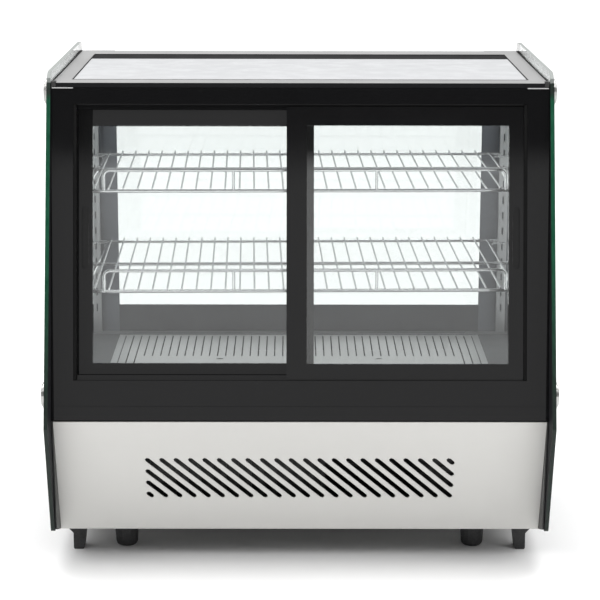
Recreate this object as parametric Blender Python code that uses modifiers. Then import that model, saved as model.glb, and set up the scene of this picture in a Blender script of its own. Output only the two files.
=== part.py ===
"""Countertop refrigerated display case with two sliding rear doors.

Metres, +Z up. The origin is on the floor at the middle of the case. -Y is the operator's side, with
the sliding doors, and +Y is the customer's side, with the fixed front glass.
"""

import math

import bmesh
import bpy
from mathutils import Matrix, Vector

# Driving dimensions
WIDTH = 0.702  # over the round caps on the side glasses
DEPTH = 0.568  # over the side glasses
HEIGHT = 0.689  # floor to the top edge of the side glasses
GAP = 0.0003  # between pieces that touch

CAP_PROUD = 0.0045
SIDE_GLASS = 0.0055
GLASS_OUT = WIDTH / 2 - CAP_PROUD
GLASS_IN = GLASS_OUT - SIDE_GLASS
BODY_HALF = GLASS_IN - 0.0008  # the cabinet between the side glasses

# The cabinet's side outline: a base that slopes in towards the floor, and doors that lean forwards
BASE_Z, MID_Z, BODY_TOP_Z = 0.0465, 0.2220, 0.6752
REAR_BOTTOM_Y, REAR_MID_Y, REAR_TOP_Y = -0.182, -0.245, -0.149
FRONT_BOTTOM_Y, FRONT_MID_Y = 0.211, 0.274
GLASS_TOP_REAR_Y, GLASS_BOTTOM_Y, GLASS_BOTTOM_Z = -0.147, 0.2300, 0.0585

REAR_LEAN = math.atan2(REAR_TOP_Y - REAR_MID_Y, BODY_TOP_Z - MID_Z)
BASE_LEAN = math.atan2(REAR_BOTTOM_Y - REAR_MID_Y, MID_Z - BASE_Z)
REAR_SLOPE = math.hypot(REAR_TOP_Y - REAR_MID_Y, BODY_TOP_Z - MID_Z)
BASE_SLOPE = math.hypot(REAR_BOTTOM_Y - REAR_MID_Y, MID_Z - BASE_Z)

SHEET = 0.0012
SIDE_SHEET = 0.0018
SIDE_PAST_Y, SIDE_PAST_Z = 0.0430, 0.0135  # how far the side sheets' lower corners reach past the panels
HEM_DEEP, HEM_LOW, HEM_HIGH = 0.0035, -0.0006, 0.0030
TRAY_HIGH, TRAY_INSET = 0.0150, 0.0055
TRAY_VENTS, TRAY_VENT_X, TRAY_VENT_PITCH, TRAY_VENT_WIDE = 8, -0.1900, 0.0260, 0.0060
TRAY_VENT_Y = (-0.0300, 0.1000)

# Slanting slots of the rear grille, up the slope from its foot
VENT_LOW_U, VENT_HIGH_U, VENT_HALF_X = 0.0553, 0.1250, 0.2150
VENT_WIDTH, VENT_PITCH, VENT_ANGLE = 0.0070, 0.0199, math.radians(-44.5)
TRAY_HALF = BODY_HALF - SIDE_SHEET - GAP

# Rear door frame, measured along its own slope
FRAME_DEEP = 0.045
SILL_HIGH = 0.0210
FRAME_LOW = 0.0213
OPENING_HALF, OPENING_LOW, OPENING_HIGH = 0.3103, 0.0564, 0.4344
TRACK_RIB = 0.0024

# Doors. The right one runs in front of the left one.
DOOR_OUTER_X, DOOR_MEETING_X, DOOR_THICK = 0.3056, 0.0188, 0.0120
DOOR_LOW, DOOR_HIGH = 0.0590, 0.4312
LEFT_DOOR_IN, RIGHT_DOOR_IN = 0.0190, 0.0030
OUTER_STILE, MEETING_STILE, BOTTOM_RAIL, TOP_RAIL = 0.0203, 0.0277, 0.0202, 0.0254
DOOR_GROOVE, GROOVE_PLAY, HEAD_PLAY = 0.0050, 0.0008, 0.0015
PANE, PANE_BITE = 0.0040, 0.0060
PULL_WIDE, PULL_LONG, PULL_DEEP, PULL_U = 0.0095, 0.0850, 0.0055, 0.2520

# Refrigerated chamber
DECK_Z = 0.2252
DECK_HALF, DECK_REAR_Y, DECK_FRONT_Y = 0.2860, -0.1500, 0.2417
DECK_SLOTS, DECK_PITCH, DECK_SLOT = 22, 0.0125, 0.0020
DECK_LONG_SLOTS, DECK_SLOT_REAR_Y, DECK_LONG_REAR_Y = 3, 0.1050, 0.0050
FINGER_HOLE_X, FINGER_HOLE_Y, FINGER_HOLE_R = 0.1210, 0.0860, 0.0060
LEDGE_REAR_Y, LEDGE_FRONT_Y = 0.2495, 0.2675
OUTLET_Y, OUTLET_R, OUTLET_LOW_X, OUTLET_HIGH_X = 0.2592, 0.0035, 0.0935, 0.2680
WELL_FLOOR_Z, WELL_REAR_Y, WELL_FRONT_Y, WELL_HALF = 0.0760, -0.0300, 0.2100, 0.2830
WELL_WALL, PASSAGE_LOW_Z = 0.0120, 0.1920
FLANGE_LOW_Z, FLANGE_HIGH_Z = 0.2085, 0.2237
FLANGE_REAR_Y, FLANGE_FRONT_Y = -0.2375, 0.2665
UPRIGHT_IN, UPRIGHT_WIDE, UPRIGHT_DEEP = 0.3162, 0.0140, 0.0080
UPRIGHT_ENDS = {"front": (0.2580, 0.6600), "rear": (-0.1080, 0.6300)}  # near Y and top Z
UPRIGHT_SLOT, UPRIGHT_SLOT_LONG, UPRIGHT_PITCH, UPRIGHT_FIRST_Z = 0.0024, 0.0120, 0.0250, 0.2600
SHELVES = {
    "upper": {"z": 0.5193, "rear_y": -0.0900, "middle_y": 0.1030},
    "lower": {"z": 0.3802, "rear_y": -0.1140, "middle_y": 0.0730},
}
SHELF_FRONT_Y, SHELF_HALF, SHELF_REAR_HALF = 0.2465, 0.3160, 0.3010
SHELF_YAW = math.radians(1.2)  # the shelves lie a little askew on their bars
WIRE, RAIL, WIRES, WIRE_PITCH = 0.0028, 0.0050, 30, 0.0205
WIRE_TIP, WIRE_SUNK = 0.0055, 0.0006
GUARD_HIGH, GUARD_HALF, GUARD_BEND, GUARD_POST_X, GUARD_POST = 0.0262, 0.2834, 0.0080, 0.1010, 0.0034
SUPPORT_IN, SUPPORT_THICK, SUPPORT_HIGH, SUPPORT_OUT = 0.3040, 0.0030, 0.0040, 0.3290
TAB_THICK, TAB_HIGH = 0.0015, 0.0030

# Top
TOP_THICK, TOP_FRONT_Y = 0.0062, 0.2675
TOP_SEAT, TOP_LIP, TOP_SUNK = 0.0045, 0.0050, 0.0005
TOP_GLASS_HALF, TOP_GLASS_REAR_Y, TOP_GLASS_FRONT_Y = 0.3145, -0.1100, 0.2190
LIGHT_HALF, LIGHT_REAR_Y, LIGHT_FRONT_Y, LIGHT_LOW_Z = 0.3000, 0.1640, 0.2140, 0.6480
LIGHT_WALL, DIFFUSER_THICK = 0.0030, 0.0030
FRONT_GLASS = 0.0060

# Feet
FOOT_X, FOOT_TOP_R, FOOT_BOTTOM_R = 0.2505, 0.0180, 0.0140
FOOT_REAR_Y, FOOT_FRONT_Y = -0.1120, 0.1510
FOOT_TOP_Z = BASE_Z - GAP
LEG_IN, LEG_OUT, LEG_TOP_IN, LEG_TOP_OUT = 0.3105, 0.3255, 0.3050, 0.3345
LEG_DEEP, LEG_Y = 0.0240, -0.1250

# Machine compartment
COMPRESSOR_X, COMPRESSOR_Y, COMPRESSOR_R, COMPRESSOR_HIGH = 0.2150, -0.1000, 0.0600, 0.1440
GLAND_X, GLAND_Y, GLAND_R = 0.3000, -0.0600, 0.0080
FAN_X, FAN_Z, FAN_R = -0.0900, 0.1250, 0.0600
CONDENSER_HALF, CONDENSER_REAR_Y, CONDENSER_DEEP = 0.1250, -0.1660, 0.0340
SHROUD_HALF, SHROUD_DEEP, BLADE_PITCH = 0.1100, 0.0220, math.radians(52)
EVAPORATOR_FAN = Vector((0.1300, 0.0900, 0.1450))
EVAPORATOR_FAN_R = 0.0420
PAN_HALF, PAN_DEEP = 0.1500, 0.1500

# Controls on the front base panel, measured from the panel's middle and along its slope
THERMOSTAT_X, SWITCHES_X, CONTROLS_UP = -0.2100, -0.1350, 0.0950
THERMOSTAT_HALF, THERMOSTAT_HIGH, KEY_X = 0.0350, 0.0280, 0.0230
SWITCHES_HALF, SWITCHES_HIGH, ROCKER_X, ROCKER_WIDE = 0.0220, 0.0260, 0.0110, 0.0172
CONTROL_PLAY, CONTROL_RIM = 0.0005, 0.0032

# Caps over the screws of each side glass: Y and Z
CAPS = {
    "rear_top": (-0.1340, 0.6610),
    "rear_low": (-0.2520, 0.2620),
    "front_low": (0.2600, 0.2620),
    "front_top": (0.2600, 0.6610),
}


def clear_scene():
    for obj in list(bpy.data.objects):
        bpy.data.objects.remove(obj, do_unlink=True)


def new_collection(name, hidden=False):
    collection = bpy.data.collections.new(name)
    bpy.context.scene.collection.children.link(collection)
    collection.hide_render = hidden
    return collection


clear_scene()
CASE = new_collection("display_case")
CUTTERS = new_collection("cutters", hidden=True)


def material(name, color, roughness, metallic=0.0, alpha=1.0):
    made = bpy.data.materials.new(name)
    made.use_nodes = True
    shader = made.node_tree.nodes["Principled BSDF"]
    shader.inputs["Base Color"].default_value = (*color, 1.0)
    shader.inputs["Roughness"].default_value = roughness
    shader.inputs["Metallic"].default_value = metallic
    shader.inputs["Alpha"].default_value = alpha
    return made


STEEL = material("brushed_steel", (0.72, 0.72, 0.70), 0.35, 1.0)
CHROME = material("chrome", (0.80, 0.80, 0.81), 0.12, 1.0)
BLACK = material("black_plastic", (0.025, 0.025, 0.028), 0.25)
BLACK_SHEET = material("black_sheet", (0.02, 0.02, 0.02), 0.4)
GREY = material("grey_liner", (0.16, 0.16, 0.17), 0.5)
RUBBER = material("rubber", (0.02, 0.02, 0.02), 0.8)
GLASS = material("glass", (0.80, 0.90, 0.86), 0.03, 0.0, 0.25)
DIFFUSER = material("diffuser", (0.90, 0.90, 0.88), 0.5)
ENAMEL = material("compressor_enamel", (0.03, 0.03, 0.03), 0.45)
ALUMINIUM = material("aluminium", (0.70, 0.71, 0.72), 0.4, 1.0)
CONTROL = material("control_plastic", (0.06, 0.06, 0.065), 0.35)


# Building blocks


def add_object(name, mesh, mat=None, parent=None, at=(0, 0, 0), turn=(0, 0, 0)):
    """A part when it has a material, or else a cutter or a piece to join to another."""
    obj = bpy.data.objects.new(name, mesh)
    obj.location, obj.rotation_euler, obj.parent = at, turn, parent
    if mat is None:
        CUTTERS.objects.link(obj)
        obj.hide_render, obj.display_type = True, "WIRE"
    else:
        mesh.materials.append(mat)
        CASE.objects.link(obj)
    return obj


def smooth(obj, angle=math.radians(35)):
    obj.data.shade_smooth()
    obj.data.set_sharp_from_angle(angle=angle)
    return obj


def block(name, low, high, mat=None, parent=None):
    """A box from its lowest to its highest corner, with its origin in its middle."""
    low, high = Vector(low), Vector(high)
    bm = bmesh.new()
    bmesh.ops.create_cube(bm, size=1.0, matrix=Matrix.Diagonal((*(high - low), 1.0)))
    mesh = bpy.data.meshes.new(name)
    bm.to_mesh(mesh)
    bm.free()
    return add_object(name, mesh, mat, parent, (low + high) / 2)


def blocks(name, corners, parent=None, mat=None):
    """Several boxes that don't touch, as one mesh, to cut or join in one go."""
    bm = bmesh.new()
    for low, high in corners:
        low, high = Vector(low), Vector(high)
        place = Matrix.Translation((low + high) / 2) @ Matrix.Diagonal((*(high - low), 1.0))
        bmesh.ops.create_cube(bm, size=1.0, matrix=place)
    mesh = bpy.data.meshes.new(name)
    bm.to_mesh(mesh)
    bm.free()
    return add_object(name, mesh, mat, parent)


def cylinder(name, radius, length, mat=None, at=(0, 0, 0), turn=(0, 0, 0), sides=32):
    """A cylinder about local Z, with its middle at its origin."""
    bm = bmesh.new()
    bmesh.ops.create_cone(bm, cap_ends=True, segments=sides, radius1=radius, radius2=radius, depth=length)
    mesh = bpy.data.meshes.new(name)
    bm.to_mesh(mesh)
    bm.free()
    return smooth(add_object(name, mesh, mat, None, at, turn))


def to_mesh_object(curve_obj, mat=None):
    """The curve as a closed mesh that Booleans can use. The curve itself is removed."""
    bpy.context.view_layer.update()
    evaluated = curve_obj.evaluated_get(bpy.context.evaluated_depsgraph_get())
    mesh = bpy.data.meshes.new_from_object(evaluated)
    bm = bmesh.new()
    bm.from_mesh(mesh)
    bmesh.ops.remove_doubles(bm, verts=bm.verts, dist=1e-6)
    bmesh.ops.recalc_face_normals(bm, faces=bm.faces)
    bm.to_mesh(mesh)
    bm.free()
    name, parent, basis = curve_obj.name, curve_obj.parent, curve_obj.matrix_basis.copy()
    curve = curve_obj.data
    bpy.data.objects.remove(curve_obj)
    bpy.data.curves.remove(curve)
    mesh.materials.clear()
    obj = add_object(name, mesh, mat, parent)
    obj.matrix_basis = basis
    return obj


def plate(name, outline, thickness, mat=None, parent=None, at=(0, 0, 0), turn=(0, 0, 0)):
    """A flat outline in local XY, thickened evenly about local Z = 0."""
    curve = bpy.data.curves.new(name, "CURVE")
    curve.dimensions, curve.fill_mode, curve.extrude = "2D", "BOTH", thickness / 2
    spline = curve.splines.new("POLY")
    spline.points.add(len(outline) - 1)
    for point, (x, y) in zip(spline.points, outline):
        point.co = (x, y, 0, 1)
    spline.use_cyclic_u = True
    obj = bpy.data.objects.new(name, curve)
    obj.location, obj.rotation_euler, obj.parent = at, turn, parent
    CASE.objects.link(obj)
    return to_mesh_object(obj, mat)


def side_plate(name, outline, x_low, x_high, mat=None):
    """An outline of (Y, Z) points, as a plate from x_low to x_high."""
    turn = (math.pi / 2, 0, math.pi / 2)
    return plate(name, outline, x_high - x_low, mat, at=((x_low + x_high) / 2, 0, 0), turn=turn)


def tube(name, points, radius, parent=None):
    curve = bpy.data.curves.new(name, "CURVE")
    curve.dimensions, curve.use_fill_caps = "3D", True
    curve.bevel_depth, curve.bevel_resolution = radius, 1
    spline = curve.splines.new("POLY")
    spline.points.add(len(points) - 1)
    for point, co in zip(spline.points, points):
        point.co = (*co, 1)
    obj = bpy.data.objects.new(name, curve)
    obj.parent = parent
    CASE.objects.link(obj)
    return to_mesh_object(obj)


def turned(name, profile, mat, steps, at, turn=(0, 0, 0)):
    """A profile of (radius, height) points, from the top axis point to the bottom one, turned about Z."""
    bm = bmesh.new()
    verts = [bm.verts.new((r, 0, z)) for r, z in profile]
    for a, b in zip(verts, verts[1:]):
        bm.edges.new((a, b))
    mesh = bpy.data.meshes.new(name)
    bm.to_mesh(mesh)
    bm.free()
    obj = add_object(name, mesh, mat, None, at, turn)
    screw = obj.modifiers.new("turn", "SCREW")
    screw.steps = screw.render_steps = steps
    screw.use_merge_vertices, screw.merge_threshold = True, 0.0001
    return obj


def boolean(obj, other, operation):
    modifier = obj.modifiers.new(operation.lower(), "BOOLEAN")
    modifier.operation, modifier.object = operation, other


def cut(obj, *cutters):
    for cutter in cutters:
        boolean(obj, cutter, "DIFFERENCE")
    return obj


def join(obj, *others):
    for other in others:
        boolean(obj, other, "UNION")
    return obj


def arc(centre, radius, start, end, steps=4):
    """Points of an arc between two angles in degrees."""
    angles = [math.radians(start + (end - start) * i / steps) for i in range(steps + 1)]
    return [(centre[0] + radius * math.cos(a), centre[1] + radius * math.sin(a)) for a in angles]


def rounded(outline, radii, steps=5):
    """The outline with each corner rounded to its own radius."""
    made = []
    for i, corner in enumerate(outline):
        here = Vector(corner)
        before = (Vector(outline[i - 1]) - here).normalized()
        after = (Vector(outline[(i + 1) % len(outline)]) - here).normalized()
        half = before.angle(after) / 2
        if radii[i] == 0:
            made.append(tuple(here))
            continue
        centre = here + (before + after).normalized() * radii[i] / math.sin(half)
        start = here + before * radii[i] / math.tan(half) - centre
        end = here + after * radii[i] / math.tan(half) - centre
        for k in range(steps + 1):
            made.append(tuple(centre + start.slerp(end, k / steps).normalized() * radii[i]))
    return made


def empty(name, at, tilt):
    """A frame for pieces on a slope: its Z runs up the slope."""
    obj = bpy.data.objects.new(name, None)
    obj.location, obj.rotation_euler = at, (tilt, 0, 0)
    CASE.objects.link(obj)
    return obj


def mirrored_pair(make):
    """Calls make for the left side, then for the right side."""
    return [make(side, sign) for side, sign in (("left", -1), ("right", 1))]


def span(sign, inner, outer):
    """The lowest and highest X of a piece between two distances from the middle, on one side."""
    return sorted((sign * inner, sign * outer))


# Base


def make_base():
    low_y, high_y = REAR_BOTTOM_Y + TRAY_INSET, FRONT_BOTTOM_Y - TRAY_INSET
    tray = block("base_tray", (-TRAY_HALF, low_y, BASE_Z), (TRAY_HALF, high_y, BASE_Z + TRAY_HIGH), STEEL)
    hollow = block(
        "tray_hollow",
        (-TRAY_HALF + SHEET, low_y - 0.01, BASE_Z + SHEET),
        (TRAY_HALF - SHEET, high_y + 0.01, BASE_Z + 2 * TRAY_HIGH),
    )
    vents = []
    for i in range(TRAY_VENTS):
        x = TRAY_VENT_X + TRAY_VENT_PITCH * i
        vents.append(((x, TRAY_VENT_Y[0], 0), (x + TRAY_VENT_WIDE, TRAY_VENT_Y[1], 0.1)))
    gland_hole = cylinder("gland_hole", GLAND_R + GAP, 0.05, at=(GLAND_X, GLAND_Y, BASE_Z), sides=16)
    cut(tray, hollow, blocks("tray_vents", vents), gland_hole)

    def side(name, sign):
        corners = {
            (REAR_BOTTOM_Y - SIDE_PAST_Y, BASE_Z + SIDE_PAST_Z): 0.004,
            (REAR_BOTTOM_Y, BASE_Z): 0,
            (FRONT_BOTTOM_Y, BASE_Z): 0,
            (FRONT_BOTTOM_Y + SIDE_PAST_Y / 2, BASE_Z + SIDE_PAST_Z): 0.004,
            (FRONT_MID_Y, MID_Z): 0,
            (REAR_MID_Y, MID_Z): 0,
        }
        outline = rounded(list(corners), list(corners.values()), 3)
        x_low, x_high = span(sign, BODY_HALF - SIDE_SHEET, BODY_HALF)
        side_plate(f"{name}_base_side", outline, x_low, x_high, BLACK_SHEET)

    mirrored_pair(side)


def vent_slots():
    """Outlines of the slanting slots of the rear grille. Those at its ends are shortened to its field."""
    radius, turn = VENT_WIDTH / 2, math.degrees(VENT_ANGLE)
    top_u = VENT_HIGH_U - radius
    rise = VENT_HIGH_U - VENT_LOW_U - VENT_WIDTH
    run = rise / math.tan(-VENT_ANGLE)
    first, last = -VENT_HALF_X + radius, VENT_HALF_X - radius
    outlines = []
    top_x = first - VENT_PITCH * math.ceil(run / VENT_PITCH)
    while top_x < last:
        start = max(0.0, (first - top_x) / run)
        end = min(1.0, (last - top_x) / run)
        if end > start:
            high = (top_x + start * run, top_u - start * rise)
            low = (top_x + end * run, top_u - end * rise)
            outline = arc(low, radius, turn - 90, turn + 90, 3)
            outlines.append(outline + arc(high, radius, turn + 90, turn + 270, 3))
        top_x += VENT_PITCH
    return outlines


def prisms(name, outlines, y_low, y_high, parent=None):
    """Prisms through local Y from outlines in local XZ, as one mesh."""
    bm = bmesh.new()
    for outline in outlines:
        base = bm.faces.new([bm.verts.new((x, y_low, z)) for x, z in outline])
        top = bmesh.ops.extrude_face_region(bm, geom=[base])
        moved = [v for v in top["geom"] if isinstance(v, bmesh.types.BMVert)]
        bmesh.ops.translate(bm, vec=(0, y_high - y_low, 0), verts=moved)
    bmesh.ops.recalc_face_normals(bm, faces=bm.faces)
    mesh = bpy.data.meshes.new(name)
    bm.to_mesh(mesh)
    bm.free()
    return add_object(name, mesh, None, parent)


def hemmed_panel(name, slope, inwards):
    """A sloping panel with a hem along its foot. inwards is the sign of local Y into the case."""
    half, top_u = TRAY_HALF, BASE_SLOPE - 0.0006
    low_y, high_y = span(inwards, 0, SHEET)
    panel = block(name, (-half, low_y, 0), (half, high_y, top_u), STEEL, slope)
    low_y, high_y = span(inwards, SHEET / 2, HEM_DEEP)
    return join(panel, block(f"{name}_hem", (-half, low_y, HEM_LOW), (half, high_y, HEM_HIGH), None, slope))


def make_base_panels():
    rear = empty("rear_base_slope", (0, REAR_BOTTOM_Y, BASE_Z), BASE_LEAN)
    cut(hemmed_panel("rear_grille_panel", rear, 1), prisms("rear_vents", vent_slots(), -0.01, 0.01, rear))

    front = empty("front_base_slope", (0, FRONT_BOTTOM_Y, BASE_Z), -BASE_LEAN)
    holes = []
    for x, half, high in (
        (THERMOSTAT_X, THERMOSTAT_HALF + CONTROL_PLAY, THERMOSTAT_HIGH / 2 + CONTROL_PLAY),
        (SWITCHES_X, SWITCHES_HALF + CONTROL_PLAY, SWITCHES_HIGH / 2 + CONTROL_PLAY),
    ):
        holes.append(((x - half, -0.02, CONTROLS_UP - high), (x + half, 0.02, CONTROLS_UP + high)))
    cut(hemmed_panel("front_base_panel", front, -1), blocks("control_holes", holes, front))
    return front


def make_feet():
    profile = [
        (0, FOOT_TOP_Z),
        (FOOT_TOP_R, FOOT_TOP_Z),
        (FOOT_TOP_R, 0.0380),
        (FOOT_BOTTOM_R + 0.0018, 0.0050),
        (FOOT_BOTTOM_R + 0.0006, 0.0020),
        (FOOT_BOTTOM_R - 0.0015, 0),
        (0, 0),
    ]
    for end, y in (("rear", FOOT_REAR_Y), ("front", FOOT_FRONT_Y)):
        for side, x in (("left", -FOOT_X), ("right", FOOT_X)):
            turned(f"foot_{end}_{side}", profile, RUBBER, 16, at=(x, y, 0))

    def leg(side, sign):
        chamfer = 0.0015
        points = [
            (LEG_IN, chamfer),
            (LEG_IN + chamfer, 0),
            (LEG_OUT - chamfer, 0),
            (LEG_OUT, chamfer),
            (LEG_OUT, 0.0240),
            (LEG_TOP_OUT, 0.0340),
            (LEG_TOP_OUT, FOOT_TOP_Z),
            (LEG_TOP_IN, FOOT_TOP_Z),
        ]
        outline = [(sign * x, z) for x, z in points]
        plate(f"corner_leg_{side}", outline, LEG_DEEP, RUBBER, at=(0, LEG_Y, 0), turn=(math.pi / 2, 0, 0))

    mirrored_pair(leg)


# Refrigerated chamber


def make_well():
    """The insulated floor: a tub for the coil, and an air passage from it to the ledge at the front glass."""
    top_z, through_z = FLANGE_HIGH_Z, FLANGE_HIGH_Z + 0.02
    inner = WELL_HALF - WELL_WALL
    flange = block(
        "insulated_well", (-TRAY_HALF, FLANGE_REAR_Y, FLANGE_LOW_Z), (TRAY_HALF, FLANGE_FRONT_Y, top_z), GREY
    )
    tub = block(
        "well_tub", (-WELL_HALF, WELL_REAR_Y, WELL_FLOOR_Z), (WELL_HALF, WELL_FRONT_Y, FLANGE_LOW_Z + 0.005)
    )
    passage = block(
        "well_passage", (-WELL_HALF, 0.1950, PASSAGE_LOW_Z), (WELL_HALF, 0.2605, FLANGE_LOW_Z + 0.006)
    )
    inside = block(
        "well_inside",
        (-inner, WELL_REAR_Y + WELL_WALL, WELL_FLOOR_Z + WELL_WALL),
        (inner, WELL_FRONT_Y - WELL_WALL, through_z),
    )
    way = block(
        "passage_inside", (-inner + 0.002, 0.1900, PASSAGE_LOW_Z + 0.004), (inner - 0.002, 0.2585, 0.2140)
    )
    intake = block("intake", (-inner + 0.001, 0.1850, 0.2100), (inner - 0.001, 0.2370, through_z))
    outlet = block("outlet", (-inner + 0.003, 0.2545, 0.2120), (inner - 0.003, 0.2640, through_z))
    join(flange, tub, passage)
    cut(flange, inside, way, intake, outlet)


def make_deck():
    """Two slotted plates that lie side by side over the well."""

    def deck(side, sign):
        low_x, high_x = span(sign, 0.0010, DECK_HALF)
        low_z = FLANGE_HIGH_Z + GAP
        made = block(f"deck_plate_{side}", (low_x, DECK_REAR_Y, low_z), (high_x, DECK_FRONT_Y, DECK_Z), STEEL)
        slots = []
        for i in range(DECK_SLOTS):
            x = sign * (0.0130 + DECK_PITCH * i)
            rear_y = DECK_SLOT_REAR_Y if i < DECK_SLOTS - DECK_LONG_SLOTS else DECK_LONG_REAR_Y
            slots.append(((x - DECK_SLOT / 2, rear_y, 0.2), (x + DECK_SLOT / 2, DECK_FRONT_Y - 0.0035, 0.26)))
        half_moon = arc((sign * FINGER_HOLE_X, FINGER_HOLE_Y), FINGER_HOLE_R, 0, 180, 8)
        finger = plate(f"finger_hole_{side}", half_moon, 0.02, at=(0, 0, DECK_Z))
        cut(made, blocks(f"deck_slots_{side}", slots), finger)

    mirrored_pair(deck)


def make_ledge():
    half, low_z = TRAY_HALF - 0.0010, FLANGE_HIGH_Z + GAP
    ledge = block("air_outlet_ledge", (-half, LEDGE_REAR_Y, low_z), (half, LEDGE_FRONT_Y, DECK_Z), GREY)

    def slot(side, sign):
        low_x, high_x = span(sign, OUTLET_LOW_X + OUTLET_R, OUTLET_HIGH_X - OUTLET_R)
        outline = arc((high_x, OUTLET_Y), OUTLET_R, -90, 90, 6) + arc((low_x, OUTLET_Y), OUTLET_R, 90, 270, 6)
        cut(ledge, plate(f"outlet_slot_{side}", outline, 0.02, at=(0, 0, DECK_Z)))

    mirrored_pair(slot)


def make_upright(end, side, sign):
    """A slotted strip that carries the shelves, at the front glass or behind the doors' frame."""
    low_y, top_z = UPRIGHT_ENDS[end]
    low_z = (DECK_Z if end == "front" else FLANGE_HIGH_Z) + GAP
    low_x, high_x = span(sign, UPRIGHT_IN, UPRIGHT_IN + UPRIGHT_WIDE)
    high_y = low_y + UPRIGHT_DEEP
    strip = block(f"upright_{end}_{side}", (low_x, low_y, low_z), (high_x, high_y, top_z), STEEL)
    middle = (low_x + high_x) / 2
    slots = []
    z = UPRIGHT_FIRST_Z
    while z < top_z - 0.02:
        high = (middle + UPRIGHT_SLOT / 2, 1, z + UPRIGHT_SLOT_LONG)
        slots.append(((middle - UPRIGHT_SLOT / 2, -1, z), high))
        z += UPRIGHT_PITCH
    cut(strip, blocks(f"slots_{end}_{side}", slots))


def make_uprights():
    for end in UPRIGHT_ENDS:
        mirrored_pair(lambda side, sign: make_upright(end, side, sign))


def guard_path():
    """Half of the guard bar: from its left foot up and round its bend, as (X, height) points."""
    path = [(-GUARD_HALF, 0)]
    for angle in (0, math.pi / 4, math.pi / 2):
        x = -GUARD_HALF + GUARD_BEND * (1 - math.cos(angle))
        path.append((x, GUARD_HIGH - GUARD_BEND * (1 - math.sin(angle))))
    return path


def make_shelf(name, z, rear_y, middle_y):
    """A wire shelf: wires that run front to back, on three rails, with a guard bar at the operator's edge.

    It is built about the middle of its far rail, so its Y values are measured from there.
    """
    frame = empty(f"{name}_shelf_place", (0, SHELF_FRONT_Y, z), 0)
    frame.rotation_euler.z = SHELF_YAW
    near_y, mid_y = rear_y - SHELF_FRONT_Y, middle_y - SHELF_FRONT_Y
    wires = []
    for i in range(WIRES):
        x = WIRE_PITCH * (i - (WIRES - 1) / 2)
        wires.append(((x - WIRE / 2, near_y - 0.0005, -WIRE / 2), (x + WIRE / 2, WIRE_TIP, WIRE / 2)))
    shelf = blocks(f"{name}_shelf", wires, frame, CHROME)
    rail_z = WIRE_SUNK - WIRE / 2 - RAIL / 2
    rails = []
    for y, half in ((0, SHELF_HALF), (mid_y, SHELF_HALF), (near_y, SHELF_REAR_HALF)):
        rails.append(((-half, y - RAIL / 2, rail_z - RAIL / 2), (half, y + RAIL / 2, rail_z + RAIL / 2)))
    path = guard_path()
    path += [(-x, up) for x, up in reversed(path)]
    guard = tube(f"{name}_guard", [(x, near_y, max(up, rail_z)) for x, up in path], RAIL / 2, frame)
    posts = []
    for x in (-GUARD_POST_X, GUARD_POST_X):
        low, high = x - GUARD_POST / 2, x + GUARD_POST / 2
        posts.append(((low, near_y - GUARD_POST / 2, rail_z), (high, near_y + GUARD_POST / 2, GUARD_HIGH)))
    join(shelf, blocks(f"{name}_rails", rails, frame), guard, blocks(f"{name}_posts", posts, frame))
    return z + rail_z - RAIL / 2 - GAP


def make_supports(name, top_z):
    """Bars between the uprights that a shelf rests on, with a tab at each end."""

    def support(side, sign):
        low_x, high_x = span(sign, SUPPORT_IN, SUPPORT_IN + SUPPORT_THICK)
        rear_y = UPRIGHT_ENDS["rear"][0] + UPRIGHT_DEEP + GAP
        front_y = UPRIGHT_ENDS["front"][0] - GAP
        bar = block(
            f"{name}_shelf_support_{side}",
            (low_x, rear_y, top_z - SUPPORT_HIGH),
            (high_x, front_y, top_z),
            CHROME,
        )
        tab_low_x, tab_high_x = span(sign, SUPPORT_IN + SUPPORT_THICK / 3, SUPPORT_OUT)
        tabs = []
        for low_y in (rear_y, front_y - TAB_THICK):
            low = (tab_low_x, low_y, top_z - 0.0005 - TAB_HIGH)
            tabs.append((low, (tab_high_x, low_y + TAB_THICK, top_z - 0.0005)))
        join(bar, blocks(f"{name}_tabs_{side}", tabs))

    mirrored_pair(support)


# Rear doors


def make_rear_frame():
    slope = empty("rear_slope", (0, REAR_MID_Y, MID_Z), -REAR_LEAN)
    floor = (FLANGE_HIGH_Z + GAP - MID_Z) / math.cos(REAR_LEAN)
    rise = FRAME_DEEP * math.tan(REAR_LEAN)
    outline = [(0, floor), (0, SILL_HIGH), (FRAME_DEEP, SILL_HIGH), (FRAME_DEEP, floor + rise)]
    plate("sill_strip", outline, BODY_HALF * 2, BLACK, slope, turn=(math.pi / 2, 0, math.pi / 2))
    frame = block(
        "rear_door_frame",
        (-BODY_HALF, 0, FRAME_LOW),
        (BODY_HALF, FRAME_DEEP, REAR_SLOPE + 0.02),
        BLACK,
        slope,
    )
    frame_top_z = BODY_TOP_Z - TOP_THICK - GAP
    above = block("above_frame", (-0.4, -0.3, frame_top_z), (0.4, 0, frame_top_z + 0.1))
    opening = block(
        "door_opening",
        (-OPENING_HALF, -0.02, OPENING_LOW),
        (OPENING_HALF, FRAME_DEEP + 0.02, OPENING_HIGH),
        None,
        slope,
    )
    cut(frame, above, opening)
    low = (OPENING_LOW - 0.002, DOOR_LOW + DOOR_GROOVE - GAP)
    high = (DOOR_HIGH - DOOR_GROOVE + HEAD_PLAY, OPENING_HIGH + 0.002)
    half = OPENING_HALF + 0.001
    ribs = []
    for door_in in (LEFT_DOOR_IN, RIGHT_DOOR_IN):
        near, far = door_in + (DOOR_THICK - TRACK_RIB) / 2, door_in + (DOOR_THICK + TRACK_RIB) / 2
        for bottom, top in (low, high):
            ribs.append(((-half, near, bottom), (half, far, top)))
    join(frame, blocks("track_ribs", ribs, slope))
    return slope


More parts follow.
